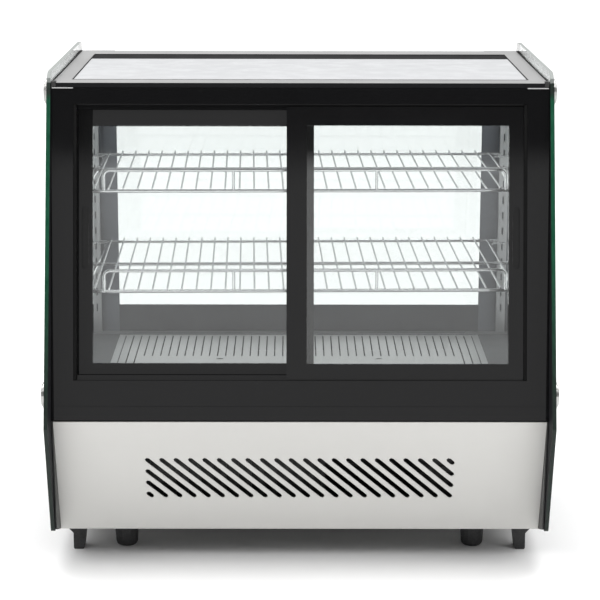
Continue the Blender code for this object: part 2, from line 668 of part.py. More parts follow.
def make_door(side, sign, door_in, slope):
    """A framed pane that runs on a rib of the sill and is guided by one at the head."""
    outer_x, meeting_x = sign * DOOR_OUTER_X, -sign * DOOR_MEETING_X
    low_x, high_x = sorted((meeting_x, outer_x))
    far, middle = door_in + DOOR_THICK, door_in + DOOR_THICK / 2
    frame = block(f"{side}_door_frame", (low_x, door_in, DOOR_LOW), (high_x, far, DOOR_HIGH), BLACK, slope)

    view_low_x, view_high_x = sorted((meeting_x + sign * MEETING_STILE, outer_x - sign * OUTER_STILE))
    view_low, view_high = DOOR_LOW + BOTTOM_RAIL, DOOR_HIGH - TOP_RAIL
    opening = block(
        f"{side}_door_opening",
        (view_low_x, door_in - 0.02, view_low),
        (view_high_x, far + 0.02, view_high),
        None,
        slope,
    )

    def bite(deep, half):
        low = (view_low_x - deep, middle - half, view_low - deep)
        return low, (view_high_x + deep, middle + half, view_high + deep)

    pocket = block(f"{side}_pane_pocket", *bite(PANE_BITE + GAP, PANE / 2 + GAP), None, slope)
    block(f"{side}_door_glass", *bite(PANE_BITE, PANE / 2), GLASS, slope)

    half = TRACK_RIB / 2 + GROOVE_PLAY
    grooves = []
    for low, high in ((DOOR_LOW - 0.01, DOOR_LOW + DOOR_GROOVE), (DOOR_HIGH - DOOR_GROOVE, DOOR_HIGH + 0.01)):
        grooves.append(((low_x - 0.01, middle - half, low), (high_x + 0.01, middle + half, high)))

    radius, pull_x = PULL_WIDE / 2, outer_x - sign * OUTER_STILE / 2
    reach = PULL_LONG / 2 - radius
    outline = arc((pull_x, PULL_U + reach), radius, 0, 180, 6)
    outline += arc((pull_x, PULL_U - reach), radius, 180, 360, 6)
    pull = prisms(f"{side}_finger_pull", [outline], door_in - 0.01, door_in + PULL_DEEP, slope)
    cut(frame, opening, pocket, blocks(f"{side}_door_grooves", grooves, slope), pull)


# Top and fixed glass


def make_top():
    low_z, seat_z = BODY_TOP_Z - TOP_THICK, BODY_TOP_Z - TOP_SEAT
    frame = block(
        "top_frame", (-BODY_HALF, REAR_TOP_Y - 0.0010, low_z), (BODY_HALF, TOP_FRONT_Y, BODY_TOP_Z), STEEL
    )
    through = block(
        "top_opening",
        (-TOP_GLASS_HALF + TOP_LIP, TOP_GLASS_REAR_Y + TOP_LIP, 0.6),
        (TOP_GLASS_HALF - TOP_LIP, TOP_GLASS_FRONT_Y - TOP_LIP, 0.7),
    )
    seat = block(
        "top_glass_seat",
        (-TOP_GLASS_HALF, TOP_GLASS_REAR_Y, seat_z),
        (TOP_GLASS_HALF, TOP_GLASS_FRONT_Y, 0.7),
    )
    cut(frame, through, seat)
    block(
        "top_glass",
        (-TOP_GLASS_HALF + GAP, TOP_GLASS_REAR_Y + GAP, seat_z + GAP),
        (TOP_GLASS_HALF - GAP, TOP_GLASS_FRONT_Y - GAP, BODY_TOP_Z - TOP_SUNK),
        GLASS,
    )

    low = Vector((-LIGHT_HALF, LIGHT_REAR_Y, LIGHT_LOW_Z))
    high = Vector((LIGHT_HALF, LIGHT_FRONT_Y, low_z - GAP))
    wall, up = Vector((LIGHT_WALL, LIGHT_WALL, 0)), Vector((0, 0, LIGHT_WALL))
    housing = block("light_housing", low, high, ALUMINIUM)
    cut(housing, block("light_channel", low + wall - up * 3, high - wall - up))
    inset = wall + Vector((GAP, GAP, 0))
    top = Vector((*(high - inset).xy, low.z + DIFFUSER_THICK))
    block("light_diffuser", low + inset, top, DIFFUSER)


def make_fixed_glass():
    front_y = FRONT_MID_Y - FRONT_GLASS
    block("front_glass", (-BODY_HALF, front_y, MID_Z + GAP), (BODY_HALF, FRONT_MID_Y, BODY_TOP_Z), GLASS)
    half_y = DEPTH / 2
    corners = {
        (-GLASS_BOTTOM_Y, GLASS_BOTTOM_Z): 0.006,
        (GLASS_BOTTOM_Y, GLASS_BOTTOM_Z): 0.006,
        (half_y, MID_Z): 0,
        (half_y, HEIGHT): 0.015,
        (GLASS_TOP_REAR_Y, HEIGHT): 0.028,
        (-half_y, MID_Z): 0,
    }
    outline = rounded(list(corners), list(corners.values()))

    def glass(side, sign):
        x_low, x_high = span(sign, GLASS_IN, GLASS_OUT)
        side_plate(f"{side}_side_glass", outline, x_low, x_high, GLASS)

    mirrored_pair(glass)


def make_caps():
    """Stepped round caps over the screws that hold each side glass."""
    profile = [
        (0, CAP_PROUD),
        (0.0148, CAP_PROUD),
        (0.0155, CAP_PROUD - 0.0007),
        (0.0155, 0.0026),
        (0.0178, 0.0026),
        (0.0183, 0.0020),
        (0.0183, GAP),
        (0, GAP),
    ]
    for place, (y, z) in CAPS.items():

        def cap(side, sign):
            at, turn = (sign * GLASS_OUT, y, z), (0, sign * math.pi / 2, 0)
            turned(f"cap_{place}_{side}", profile, CHROME, 18, at=at, turn=turn)

        mirrored_pair(cap)


# Machine compartment


def make_compressor():
    x, y, floor_z = COMPRESSOR_X, COMPRESSOR_Y, BASE_Z + SHEET + GAP
    profile = [
        (0, COMPRESSOR_HIGH),
        (0.0300, COMPRESSOR_HIGH - 0.0040),
        (0.0500, COMPRESSOR_HIGH - 0.0180),
        (0.0580, 0.1000),
        (0.0580, 0.0850),
        (COMPRESSOR_R, 0.0830),
        (COMPRESSOR_R, 0.0760),
        (0.0580, 0.0740),
        (0.0560, 0.0280),
        (0.0400, 0.0160),
        (0, 0.0130),
    ]
    shell = turned("compressor", profile, ENAMEL, 24, at=(x, y, floor_z))
    half_x, half_y = 0.0700, 0.0550
    foot = block(
        "compressor_plate",
        (x - half_x, y - half_y, floor_z + 0.0080),
        (x + half_x, y + half_y, floor_z + 0.0145),
    )
    pads = []
    for dx in (-0.0560, 0.0560):
        for dy in (-0.0420, 0.0420):
            middle = Vector((x + dx, y + dy, floor_z + 0.0050))
            half = Vector((0.0100, 0.0100, 0.0050))
            pads.append((middle - half, middle + half))
    join(shell, foot, blocks("compressor_pads", pads))


def fins(name, low, high, count, depth, mat):
    """A finned block: a solid coil core with grooves between its fins, on both faces across Y."""
    core = block(name, low, high, mat)
    step = (high[0] - low[0]) / count
    grooves = []
    for i in range(count):
        x = low[0] + step * (i + 0.5)
        for y_low, y_high in ((low[1] - 0.01, low[1] + depth), (high[1] - depth, high[1] + 0.01)):
            deepest = (x + step * 0.3, y_high, high[2] - 0.006)
            grooves.append(((x - step * 0.3, y_low, low[2] + 0.006), deepest))
    return cut(core, blocks(f"{name}_grooves", grooves))


def blade_wheel(name, radius, hub_r, hub_long, blades, mat, at, turn):
    """A fan wheel about local Z: a hub with a bore for the motor shaft, and pitched blades."""
    wheel = cylinder(name, hub_r, hub_long, mat, at=at, turn=turn, sides=24)
    root = hub_r * 0.6
    half = Vector(((radius - root) / 2, 0.0008, hub_long * 0.62))
    pitch = Matrix.Rotation(BLADE_PITCH, 4, "X")
    for i in range(blades):
        blade = block(f"{name}_blade_{i}", -half, half)
        blade.data.transform(Matrix.Translation(((radius + root) / 2, 0, 0)) @ pitch)
        blade.matrix_basis = wheel.matrix_basis @ Matrix.Rotation(2 * math.pi * i / blades, 4, "Z")
        join(wheel, blade)
    bore = cylinder(f"{name}_bore", 0.0035, hub_long, sides=12)
    bore.matrix_basis = wheel.matrix_basis @ Matrix.Translation((0, 0, -hub_long * 0.35))
    return cut(wheel, bore)


def make_condenser():
    """The condenser, and its fan in a shroud that holds the motor."""
    low_z, top_z, along_y = BASE_Z + SHEET + GAP, 0.1950, (math.pi / 2, 0, 0)
    shroud_y = CONDENSER_REAR_Y + CONDENSER_DEEP + GAP
    fins(
        "condenser",
        (FAN_X - CONDENSER_HALF, CONDENSER_REAR_Y, BASE_Z + SHEET + 0.0060),
        (FAN_X + CONDENSER_HALF, CONDENSER_REAR_Y + CONDENSER_DEEP, top_z),
        14,
        0.0120,
        ALUMINIUM,
    )

    def round_bar(name, radius, length, y, sides=20):
        return cylinder(name, radius, length, at=(FAN_X, shroud_y + y, FAN_Z), turn=along_y, sides=sides)

    shroud = block(
        "fan_shroud",
        (FAN_X - SHROUD_HALF, shroud_y, low_z),
        (FAN_X + SHROUD_HALF, shroud_y + SHROUD_DEEP, top_z),
        BLACK_SHEET,
    )
    cut(shroud, round_bar("shroud_throat", FAN_R + 0.0040, 0.1, 0, 28))
    arm_y = shroud_y + SHROUD_DEEP - 0.0005
    arms = []
    for sign in (-1, 1):
        low_x, high_x = span(sign, 0.0100, 0.0700)
        low = (FAN_X + low_x, arm_y - 0.0010, FAN_Z - 0.0040)
        arms.append((low, (FAN_X + high_x, arm_y + 0.0060, FAN_Z + 0.0040)))
    join(
        shroud,
        round_bar("motor_plate", 0.0230, 0.0060, 0.0290),
        round_bar("fan_motor", 0.0200, 0.0300, 0.0430),
        round_bar("fan_shaft", 0.0030, 0.0120, 0.0230, 12),
        blocks("motor_arms", arms),
    )
    at = (FAN_X, shroud_y + SHROUD_DEEP / 2, FAN_Z)
    blade_wheel("condenser_fan", FAN_R, 0.0180, 0.0140, 5, BLACK, at, along_y)


def make_evaporator():
    """The coil in the well, with its fan and motor on its end."""
    end_x, along_x = 0.1000, (0, math.pi / 2, 0)
    x, y, z = EVAPORATOR_FAN
    coil = fins("evaporator", (-0.2200, 0.0400, 0.1000), (end_x, 0.1400, 0.1850), 14, 0.0360, ALUMINIUM)
    half = 0.0080
    bracket = block(
        "evaporator_bracket", (end_x - 0.003, y - half, z - half), (end_x + 0.006, y + half, z + half)
    )
    motor = cylinder("evaporator_motor", 0.0160, 0.0160, at=(end_x + 0.0120, y, z), turn=along_x, sides=20)
    shaft = cylinder("evaporator_shaft", 0.0025, 0.0120, at=(end_x + 0.0240, y, z), turn=along_x, sides=12)
    join(coil, bracket, motor, shaft)
    blade_wheel("evaporator_fan", EVAPORATOR_FAN_R, 0.0150, 0.0120, 5, BLACK, (x, y, z), along_x)


def make_drain_and_gland():
    low_z, wall, high = BASE_Z + SHEET + GAP, 0.0020, 0.0180
    pan = block("drain_pan", (-PAN_HALF, 0, low_z), (PAN_HALF, PAN_DEEP, low_z + high), GREY)
    inside = block(
        "pan_inside", (wall - PAN_HALF, wall, low_z + wall), (PAN_HALF - wall, PAN_DEEP - wall, 0.1)
    )
    cut(pan, inside)

    gland = cylinder("cable_gland", GLAND_R, 0.0150, BLACK, at=(GLAND_X, GLAND_Y, BASE_Z - 0.0020), sides=16)
    nut = cylinder("gland_nut", 0.0110, 0.0050, at=(GLAND_X, GLAND_Y, BASE_Z - GAP - 0.0025), sides=6)
    bore = cylinder("gland_bore", 0.0037, 0.06, at=(GLAND_X, GLAND_Y, BASE_Z), sides=12)
    cut(join(gland, nut), bore)


# Controls


def control_box(name, x, half, high, deep, rim, slope):
    """A housing behind the front base panel, with a rim over the edge of its hole."""
    u = CONTROLS_UP
    body = block(name, (x - half, -deep, u - high / 2), (x + half, 0.0010, u + high / 2), CONTROL, slope)
    wide, tall = half + CONTROL_RIM, high / 2 + CONTROL_RIM
    rim = block(f"{name}_rim", (x - wide, GAP, u - tall), (x + wide, rim, u + tall), None, slope)
    return join(body, rim)


def make_controls(slope):
    """A thermostat with two keys and a pair of rocker switches, in the front base panel."""
    u = CONTROLS_UP
    key_low, key_high = u - 0.0100, u - 0.0030
    keys = {"up": THERMOSTAT_X - KEY_X, "down": THERMOSTAT_X + KEY_X}
    wells = [((x - 0.0048, -0.0020, key_low), (x + 0.0048, 0.02, key_high)) for x in keys.values()]
    housing = control_box("thermostat", THERMOSTAT_X, THERMOSTAT_HALF, THERMOSTAT_HIGH, 0.0240, 0.0030, slope)
    cut(housing, blocks("key_wells", wells, slope))
    for name, x in keys.items():
        low, high = (x - 0.0045, -0.0004, key_low + GAP), (x + 0.0045, 0.0042, key_high - GAP)
        block(f"thermostat_{name}_key", low, high, CONTROL, slope)

    rockers = {"power": SWITCHES_X + ROCKER_X, "light": SWITCHES_X - ROCKER_X}
    wells = [((x - 0.0090, -0.0120, u - 0.0110), (x + 0.0090, 0.02, u + 0.0110)) for x in rockers.values()]
    housing = control_box("switch_housing", SWITCHES_X, SWITCHES_HALF, SWITCHES_HIGH, 0.0220, 0.0020, slope)
    cut(housing, blocks("rocker_wells", wells, slope))
    # The plate's local X runs down the slope and its local Y out of the panel.
    outline = [
        (0.0100, -0.0034),
        (0.0088, 0.0052),
        (0.0000, 0.0026),
        (-0.0088, 0.0068),
        (-0.0100, -0.0016),
        (-0.0030, -0.0060),
        (0.0030, -0.0060),
    ]
    for name, x in rockers.items():
        at, turn = (x, -0.0010, u), (0, math.pi / 2, 0)
        plate(f"{name}_rocker", outline, ROCKER_WIDE, CONTROL, slope, at, turn)


make_base()
front_slope = make_base_panels()
make_feet()
make_well()
make_deck()
make_ledge()
make_uprights()
for shelf_name, sizes in SHELVES.items():
    make_supports(shelf_name, make_shelf(shelf_name, **sizes))
rear_slope = make_rear_frame()
make_door("left", -1, LEFT_DOOR_IN, rear_slope)
make_door("right", 1, RIGHT_DOOR_IN, rear_slope)
make_top()
make_fixed_glass()
make_caps()
make_compressor()
make_condenser()
make_evaporator()
make_drain_and_gland()
make_controls(front_slope)
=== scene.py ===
"""The looks of the countertop display case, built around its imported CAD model.

Metres, +Z up. -Y is the operator's side, with the sliding doors, and +Y is the customer's side.
"""

import math

import bmesh
import bpy
from mathutils import Euler, Matrix, Vector


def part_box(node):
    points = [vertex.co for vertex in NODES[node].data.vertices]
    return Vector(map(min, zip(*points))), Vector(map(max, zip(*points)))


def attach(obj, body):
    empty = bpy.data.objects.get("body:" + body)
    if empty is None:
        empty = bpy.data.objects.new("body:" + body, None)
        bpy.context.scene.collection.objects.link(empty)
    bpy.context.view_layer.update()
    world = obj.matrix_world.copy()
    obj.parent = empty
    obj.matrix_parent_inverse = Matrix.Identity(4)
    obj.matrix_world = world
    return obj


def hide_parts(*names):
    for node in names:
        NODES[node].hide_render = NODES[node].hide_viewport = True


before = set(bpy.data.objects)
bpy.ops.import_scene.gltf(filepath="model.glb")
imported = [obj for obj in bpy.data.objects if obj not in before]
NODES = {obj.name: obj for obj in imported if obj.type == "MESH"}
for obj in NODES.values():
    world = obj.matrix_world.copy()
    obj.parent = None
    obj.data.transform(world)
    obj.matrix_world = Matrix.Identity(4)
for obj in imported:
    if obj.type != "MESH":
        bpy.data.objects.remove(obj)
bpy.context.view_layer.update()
SIDES = (("left", -1), ("right", 1))
ENDS = ("rear", "front")

# Places that the CAD model fixes
GLASS_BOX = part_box("front_glass")
TOP_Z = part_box("top_frame")[1].z
MID_Z = GLASS_BOX[0].z
DOOR_LEAN = math.atan2(0.0960, 0.4532)  # the doors lean towards the customer
BASE_LEAN = math.atan2(0.0630, 0.1755)  # the base slopes in towards the floor

# Printed black borders of the glass
PRINT_HALF, PRINT_LOW_Z = 0.2885, 0.2674  # front glass: half width and foot of the clear part
# painted light and shade: the side print is lighter below the first height and darker above the
# second, as if shaded by the top
PRINT_PAINTED_LIGHT_Z, PRINT_PAINTED_SHADE_Z = 0.5600, 0.6000  # its inner face is lighter below the first height
SIDE_PRINT_LOW_Z = 0.2300
SIDE_CLEAR_REAR, SIDE_CLEAR_FRONT_Y = -0.1960, 0.2560  # the first is measured at MID_Z's height
BAND_REAR_Y = 0.1590  # where the black band of the top glass starts

# Shelf wires
SHELVES = {
    "upper": {"z": 0.5193, "rear_y": -0.0900, "middle_y": 0.1030},
    "lower": {"z": 0.3802, "rear_y": -0.1140, "middle_y": 0.0730},
}
WIRE_R, RAIL_R, GUARD_R, POST_R = 0.0014, 0.0025, 0.0024, 0.0021
RAIL_SUNK = 0.0006  # how far the wires are pressed into the rails
WIRES, WIRE_PITCH, WIRE_PAST_RAIL = 30, 0.0205, 0.0055
SHELF_FRONT_Y, SHELF_HALF, SHELF_REAR_HALF = 0.2465, 0.3160, 0.3010
SHELF_YAW = math.radians(1.2)  # the shelves lie a little askew on their bars
GUARD_HIGH, GUARD_HALF, GUARD_BEND, POST_X = 0.0262, 0.2834, 0.0080, 0.1010

# Doors and their frame, along the rear slope
OPENING_HALF, DOOR_OUTER_X = 0.3103, 0.3056
DOOR_LOW, DOOR_HIGH = 0.0590, 0.4312
BODY_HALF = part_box("rear_door_frame")[1].x

# Controls on the front base panel, in its slope's frame
THERMOSTAT_X, THERMOSTAT_FACE, KEY_FACE = -0.2100, 0.0030, 0.0042
WINDOW_HALF, WINDOW_LOW, WINDOW_HIGH = 0.0140, 0.0950, 0.1065
LAMP_X, LAMP_LOW, LAMP_SIZE = 0.0180, 0.0995, 0.0020
KEY_X, KEY_MIDDLE = 0.0230, 0.0885
MARK_HALF_LONG, MARK_HALF_HIGH = 0.0020, 0.0004

# Studio
FLOOR_HALF = 30.0
WALL_LOW, WALL_HIGH = 0.60, 0.055  # light from behind the viewer, low down and high up
HORIZON = 0.45  # light near the horizon, as a share of the light higher up
WALL_START_Y, WALL_FULL_Y = -0.35, -0.75  # directions, as parts of a unit vector
WALL_EDGE_Z, CEILING_Z, RISE_Z = (0.253, 0.263), (0.55, 0.80), (0.05, 0.45)
SUN_POWER, SUN_SPREAD, SUN_TILT = 2.0, math.radians(50), math.radians(-8)
LIGHT_AIM = (0, 0, 0.35)
CAMERA_PLACE, CAMERA_LENS, CAMERA_SENSOR = (-0.0113, -2.9428, 1.0092), 123.0, 36.0
CAMERA_PITCH, CAMERA_TURN, CAMERA_ROLL = (math.radians(a) for a in (77.14, -0.231, 0.12))


# Material building


def srgb(red, green, blue):
    """A linear colour from 0 to 255 screen values."""

    def linear(value):
        value /= 255
        return value / 12.92 if value <= 0.04045 else ((value + 0.055) / 1.055) ** 2.4

    return (linear(red), linear(green), linear(blue), 1.0)


class Tree:
    """Nodes of one material. Each call adds one and returns it; inputs may be values or sockets."""

    def __init__(self, name):
        self.material = bpy.data.materials.new(name)
        self.material.use_nodes = True
        self.nodes = self.material.node_tree.nodes
        self.links = self.material.node_tree.links
        self.nodes.clear()
        self.out = self.nodes.new("ShaderNodeOutputMaterial")
        self.coords = self.nodes.new("ShaderNodeTexCoord").outputs["Object"]

    def add(self, kind, inputs=None, **settings):
        made = self.nodes.new(f"ShaderNode{kind}")
        for key, value in settings.items():
            setattr(made, key, value)
        for key, value in (inputs or {}).items():
            if isinstance(value, bpy.types.NodeSocket):
                self.links.new(value, made.inputs[key])
            else:
                made.inputs[key].default_value = value
        return made

    def math(self, operation, a, b=0.0, clamp=False):
        made = self.add("Math", {0: a, 1: b}, operation=operation, use_clamp=clamp)
        return made.outputs[0]

    def noise(self, scale, detail=3.0, stretch=(1, 1, 1)):
        place = self.add("Mapping", {"Vector": self.coords, "Scale": stretch})
        made = self.add(
            "TexNoise",
            {"Vector": place.outputs[0], "Scale": scale, "Detail": detail, "Roughness": 0.55},
        )
        return made.outputs[0]

    def ramp(self, value, low, high, to_low, to_high):
        limits = {"From Min": low, "From Max": high, "To Min": to_low, "To Max": to_high}
        made = self.add("MapRange", {"Value": value, **limits})
        return made.outputs[0]

    def mix_color(self, share, a, b):
        made = self.add("Mix", {"Factor": share, "A": a, "B": b}, data_type="RGBA")
        return made.outputs["Result"]

    def bump(self, height, distance):
        made = self.add("Bump", {"Height": height, "Distance": distance, "Strength": 1.0})
        return made.outputs[0]

    def mix_shader(self, share, first, second):
        made = self.add("MixShader", {"Fac": share})
        self.links.new(first, made.inputs[1])
        self.links.new(second, made.inputs[2])
        return made.outputs[0]

    def axes(self):
        """Place on the piece, in the case's own frame."""
        return self.add("SeparateXYZ", {"Vector": self.coords}).outputs

    def show(self, shader):
        self.links.new(shader, self.out.inputs["Surface"])
        return self.material


def shade(color, factor):
    """A lighter or darker colour, with its alpha."""
    return (*(min(1.0, c * factor) for c in color[:3]), 1.0)


def surface(
    name,
    color,
    roughness,
    metallic=0.0,
    spread=0.06,
    tint=0.06,
    patch=9.0,
    grain=(1, 1, 1),
    grain_scale=900.0,
    depth=0.00002,
    wear=0.0,
    coat=0.0,
    dust=0.0,
    specular=0.5,
):
    """A solid finish: blotches in its colour, a grain in roughness and relief, dust, worn edges."""
    tree = Tree(name)
    large = tree.noise(patch, 5.0)
    fine = tree.noise(grain_scale, 2.0, grain)
    paint = tree.mix_color(large, shade(color, 1 - tint), shade(color, 1 + tint))
    if dust:
        settled = tree.ramp(tree.noise(patch * 7, 6.0), 0.45, 0.75, 0.0, dust)
        paint = tree.mix_color(settled, paint, srgb(150, 148, 145))
    rough = tree.ramp(fine, 0.3, 0.7, roughness - spread / 2, roughness + spread / 2)
    smudge = tree.ramp(large, 0.35, 0.7, -spread / 2, spread)
    rough = tree.math("ADD", rough, smudge, clamp=True)
    if wear:
        soft = tree.add("Bevel", {"Radius": 0.0012}, samples=4)
        flat = tree.add("NewGeometry").outputs["Normal"]
        turn = tree.add("VectorMath", {0: soft.outputs[0], 1: flat}, operation="DOT_PRODUCT")
        edge = tree.ramp(turn.outputs["Value"], 0.995, 0.80, 0.0, 1.0)
        rubbed = tree.ramp(tree.noise(70.0), 0.35, 0.6, 0.1, wear)
        worn = tree.math("MULTIPLY", edge, rubbed, clamp=True)
        paint = tree.mix_color(worn, paint, shade(color, 2.6))
    normal = tree.bump(fine, depth)
    shader = tree.add(
        "BsdfPrincipled",
        {
            "Base Color": paint,
            "Metallic": metallic,
            "Roughness": rough,
            "Normal": normal,
            "Coat Weight": coat,
            "Coat Roughness": 0.08,
            "Specular IOR Level": specular,
        },
    )
    return tree.show(shader.outputs[0])


def mirror_share(tree, least=0.04):
    """How much a glass face mirrors, the same from both of its sides."""
    facing = tree.add("LayerWeight", {"Blend": 0.5}).outputs["Facing"]
    rise = tree.math("POWER", facing, 5.0)
    return tree.math("ADD", tree.math("MULTIPLY", rise, 1 - least), least, clamp=True)


def clear_glass(tree, tint, least=0.04):
    """Thin clear glass with faint wiping marks in its shine."""
    marks = tree.ramp(tree.noise(22.0, 6.0, (1, 1, 0.3)), 0.4, 0.75, 0.0, 0.05)
    through = tree.add("BsdfTransparent", {"Color": tint}).outputs[0]
    shine = tree.add("BsdfGlossy", {"Color": (1, 1, 1, 1), "Roughness": marks}).outputs[0]
    return tree.mix_shader(mirror_share(tree, least), through, shine)


def print_coat(tree, color, roughness=0.06, specular=0.5):
    """Black enamel fired on the glass. Its colour may be a socket."""
    flecks = tree.noise(1400.0, 2.0)
    cloud = tree.ramp(tree.noise(12.0, 4.0), 0.3, 0.7, 0.9, 1.1)
    paint = tree.add("VectorMath", {0: color, "Scale": cloud}, operation="SCALE").outputs[0]
    rough = tree.ramp(flecks, 0.3, 0.7, roughness, roughness + 0.05)
    shader = tree.add(
        "BsdfPrincipled",
        {
            "Base Color": paint,
            "Roughness": rough,
            "Normal": tree.bump(flecks, 0.000004),
            "IOR": 1.6,
            "Specular IOR Level": specular,
        },
    )
    return shader.outputs[0]


def door_pane_material():
    """A double-glazed pane, which mirrors twice as much as one sheet."""
    tree = Tree("door_pane")
    return tree.show(clear_glass(tree, (0.972, 0.982, 0.980, 1.0), 0.092))


def front_pane_material(name, dark, light):
    """The front glass: a printed border at its sides and its foot, with painted light in its lower
    sides and painted shade above them.
    """
    tree = Tree(name)
    x, _, z = tree.axes()
    side = tree.math("GREATER_THAN", tree.math("ABSOLUTE", x), PRINT_HALF)
    foot = tree.math("LESS_THAN", z, PRINT_LOW_Z)
    border = tree.math("MAXIMUM", side, foot)
    glass = clear_glass(tree, (0.905, 0.922, 0.918, 1.0))
    # painted shade: the side print takes its darker colour high up and its lighter colour low down
    painted_light_share = tree.math("MULTIPLY", side, tree.ramp(z, PRINT_PAINTED_SHADE_Z, PRINT_PAINTED_LIGHT_Z, 0.0, 1.0))
    enamel = print_coat(tree, tree.mix_color(painted_light_share, dark, light))
    return tree.show(tree.mix_shader(border, glass, enamel))


def side_pane_material(name, gloss):
    """A side glass: black below the deck and along both ends, clear in its middle and its tip."""
    tree = Tree(name)
    _, y, z = tree.axes()
    foot = tree.math("LESS_THAN", z, SIDE_PRINT_LOW_Z)
    lean = tree.math("MULTIPLY", tree.math("SUBTRACT", z, MID_Z), math.tan(DOOR_LEAN))
    from_door = tree.math("SUBTRACT", y, lean)
    rear = tree.math("LESS_THAN", from_door, SIDE_CLEAR_REAR)
    front = tree.math("GREATER_THAN", y, SIDE_CLEAR_FRONT_Y)
    border = tree.math("MAXIMUM", tree.math("MAXIMUM", foot, rear), front)
    border = tree.math("MULTIPLY", border, tree.math("LESS_THAN", z, TOP_Z))
    glass = clear_glass(tree, (0.91, 0.93, 0.925, 1.0))
    enamel = print_coat(tree, (0.012, 0.012, 0.014), *gloss)
    return tree.show(tree.mix_shader(border, glass, enamel))


def glass_edge_material():
    """The ground edge of a side glass: green along its height, darker at its foot and its top, with
    a painted highlight on its upward faces.
    """
    tree = Tree("glass_edge")
    _, _, z = tree.axes()
    streaks = tree.noise(240.0, 3.0, (1, 1, 0.15))
    green = tree.mix_color(streaks, srgb(8, 52, 35), srgb(24, 84, 60))
    dark = tree.mix_color(streaks, srgb(24, 32, 28), srgb(38, 46, 42))
    above_foot = tree.ramp(z, 0.26, 0.46, 0.0, 1.0)
    below_top = tree.ramp(z, 0.662, 0.652, 0.0, 1.0)
    paint = tree.mix_color(tree.math("MULTIPLY", above_foot, below_top), dark, green)
    # painted highlight: edge faces that look up are given a light grey
    normal = tree.add("NewGeometry").outputs["Normal"]
    upward = tree.add("SeparateXYZ", {"Vector": normal}).outputs[2]
    painted_highlight_share = tree.ramp(upward, 0.45, 0.8, 0.0, 1.0)
    shader = tree.add(
        "BsdfPrincipled",
        {
            "Base Color": tree.mix_color(painted_highlight_share, paint, srgb(150, 154, 152)),
            "Roughness": tree.ramp(streaks, 0.3, 0.7, 0.25, 0.45),
            "Specular IOR Level": 0.2,
            "Normal": tree.bump(streaks, 0.00003),
        },
    )
    return tree.show(shader.outputs[0])


def top_pane_material():
    """The top glass: white enamel under clear glass, with a matt black band over the lamp."""
    tree = Tree("top_glass_enamel")
    _, y, _ = tree.axes()
    cloud = tree.noise(5.0, 4.0)
    smudges = tree.noise(30.0, 5.0)
    ripple = tree.bump(tree.noise(60.0), 0.00001)
    darkest, dark = (0.014, 0.014, 0.015, 1.0), (0.018, 0.018, 0.019, 1.0)
    white = tree.add(
        "BsdfPrincipled",
        {
            "Base Color": tree.mix_color(cloud, srgb(203, 205, 208), srgb(210, 211, 213)),
            "Roughness": tree.ramp(smudges, 0.35, 0.7, 0.1, 0.2),
            "Specular IOR Level": 0.3,
            "Normal": ripple,
        },
    )
    black = tree.add(
        "BsdfPrincipled",
        {
            "Base Color": tree.mix_color(cloud, darkest, dark),
            "Roughness": tree.ramp(smudges, 0.35, 0.7, 0.6, 0.7),
            "Specular IOR Level": 0.03,
            "Normal": ripple,
        },
    )
    band = tree.math("GREATER_THAN", y, BAND_REAR_Y)
    return tree.show(tree.mix_shader(band, white.outputs[0], black.outputs[0]))


def turned_metal_material(name, color, roughness, axis):
    """Metal with fine rings about an axis, from turning."""
    tree = Tree(name)
    rings = tree.add(
        "TexWave",
        {"Vector": tree.coords, "Scale": 900.0, "Distortion": 1.5, "Detail": 1.0},
        wave_type="RINGS",
        rings_direction=axis,
    ).outputs[0]
    cloud = tree.noise(40.0, 4.0)
    shader = tree.add(
        "BsdfPrincipled",
        {
            "Base Color": tree.mix_color(cloud, shade(color, 0.9), color),
            "Metallic": 1.0,
            "Roughness": tree.ramp(rings, 0.2, 0.8, roughness, roughness + 0.1),
            "Normal": tree.bump(rings, 0.00001),
        },
    )
    return tree.show(shader.outputs[0])


def mark_material(name, color, glow):
    """A small printed mark or a lamp lens."""
    tree = Tree(name)
    cloud = tree.noise(400.0, 3.0)
    paint = tree.mix_color(cloud, shade(color, 0.88), color)
    shader = tree.add(
        "BsdfPrincipled",
        {
            "Base Color": paint,
            "Roughness": tree.ramp(cloud, 0.3, 0.7, 0.25, 0.45),
            "Emission Color": paint,
            "Emission Strength": glow,
            "Normal": tree.bump(cloud, 0.00001),
        },
    )
    return tree.show(shader.outputs[0])


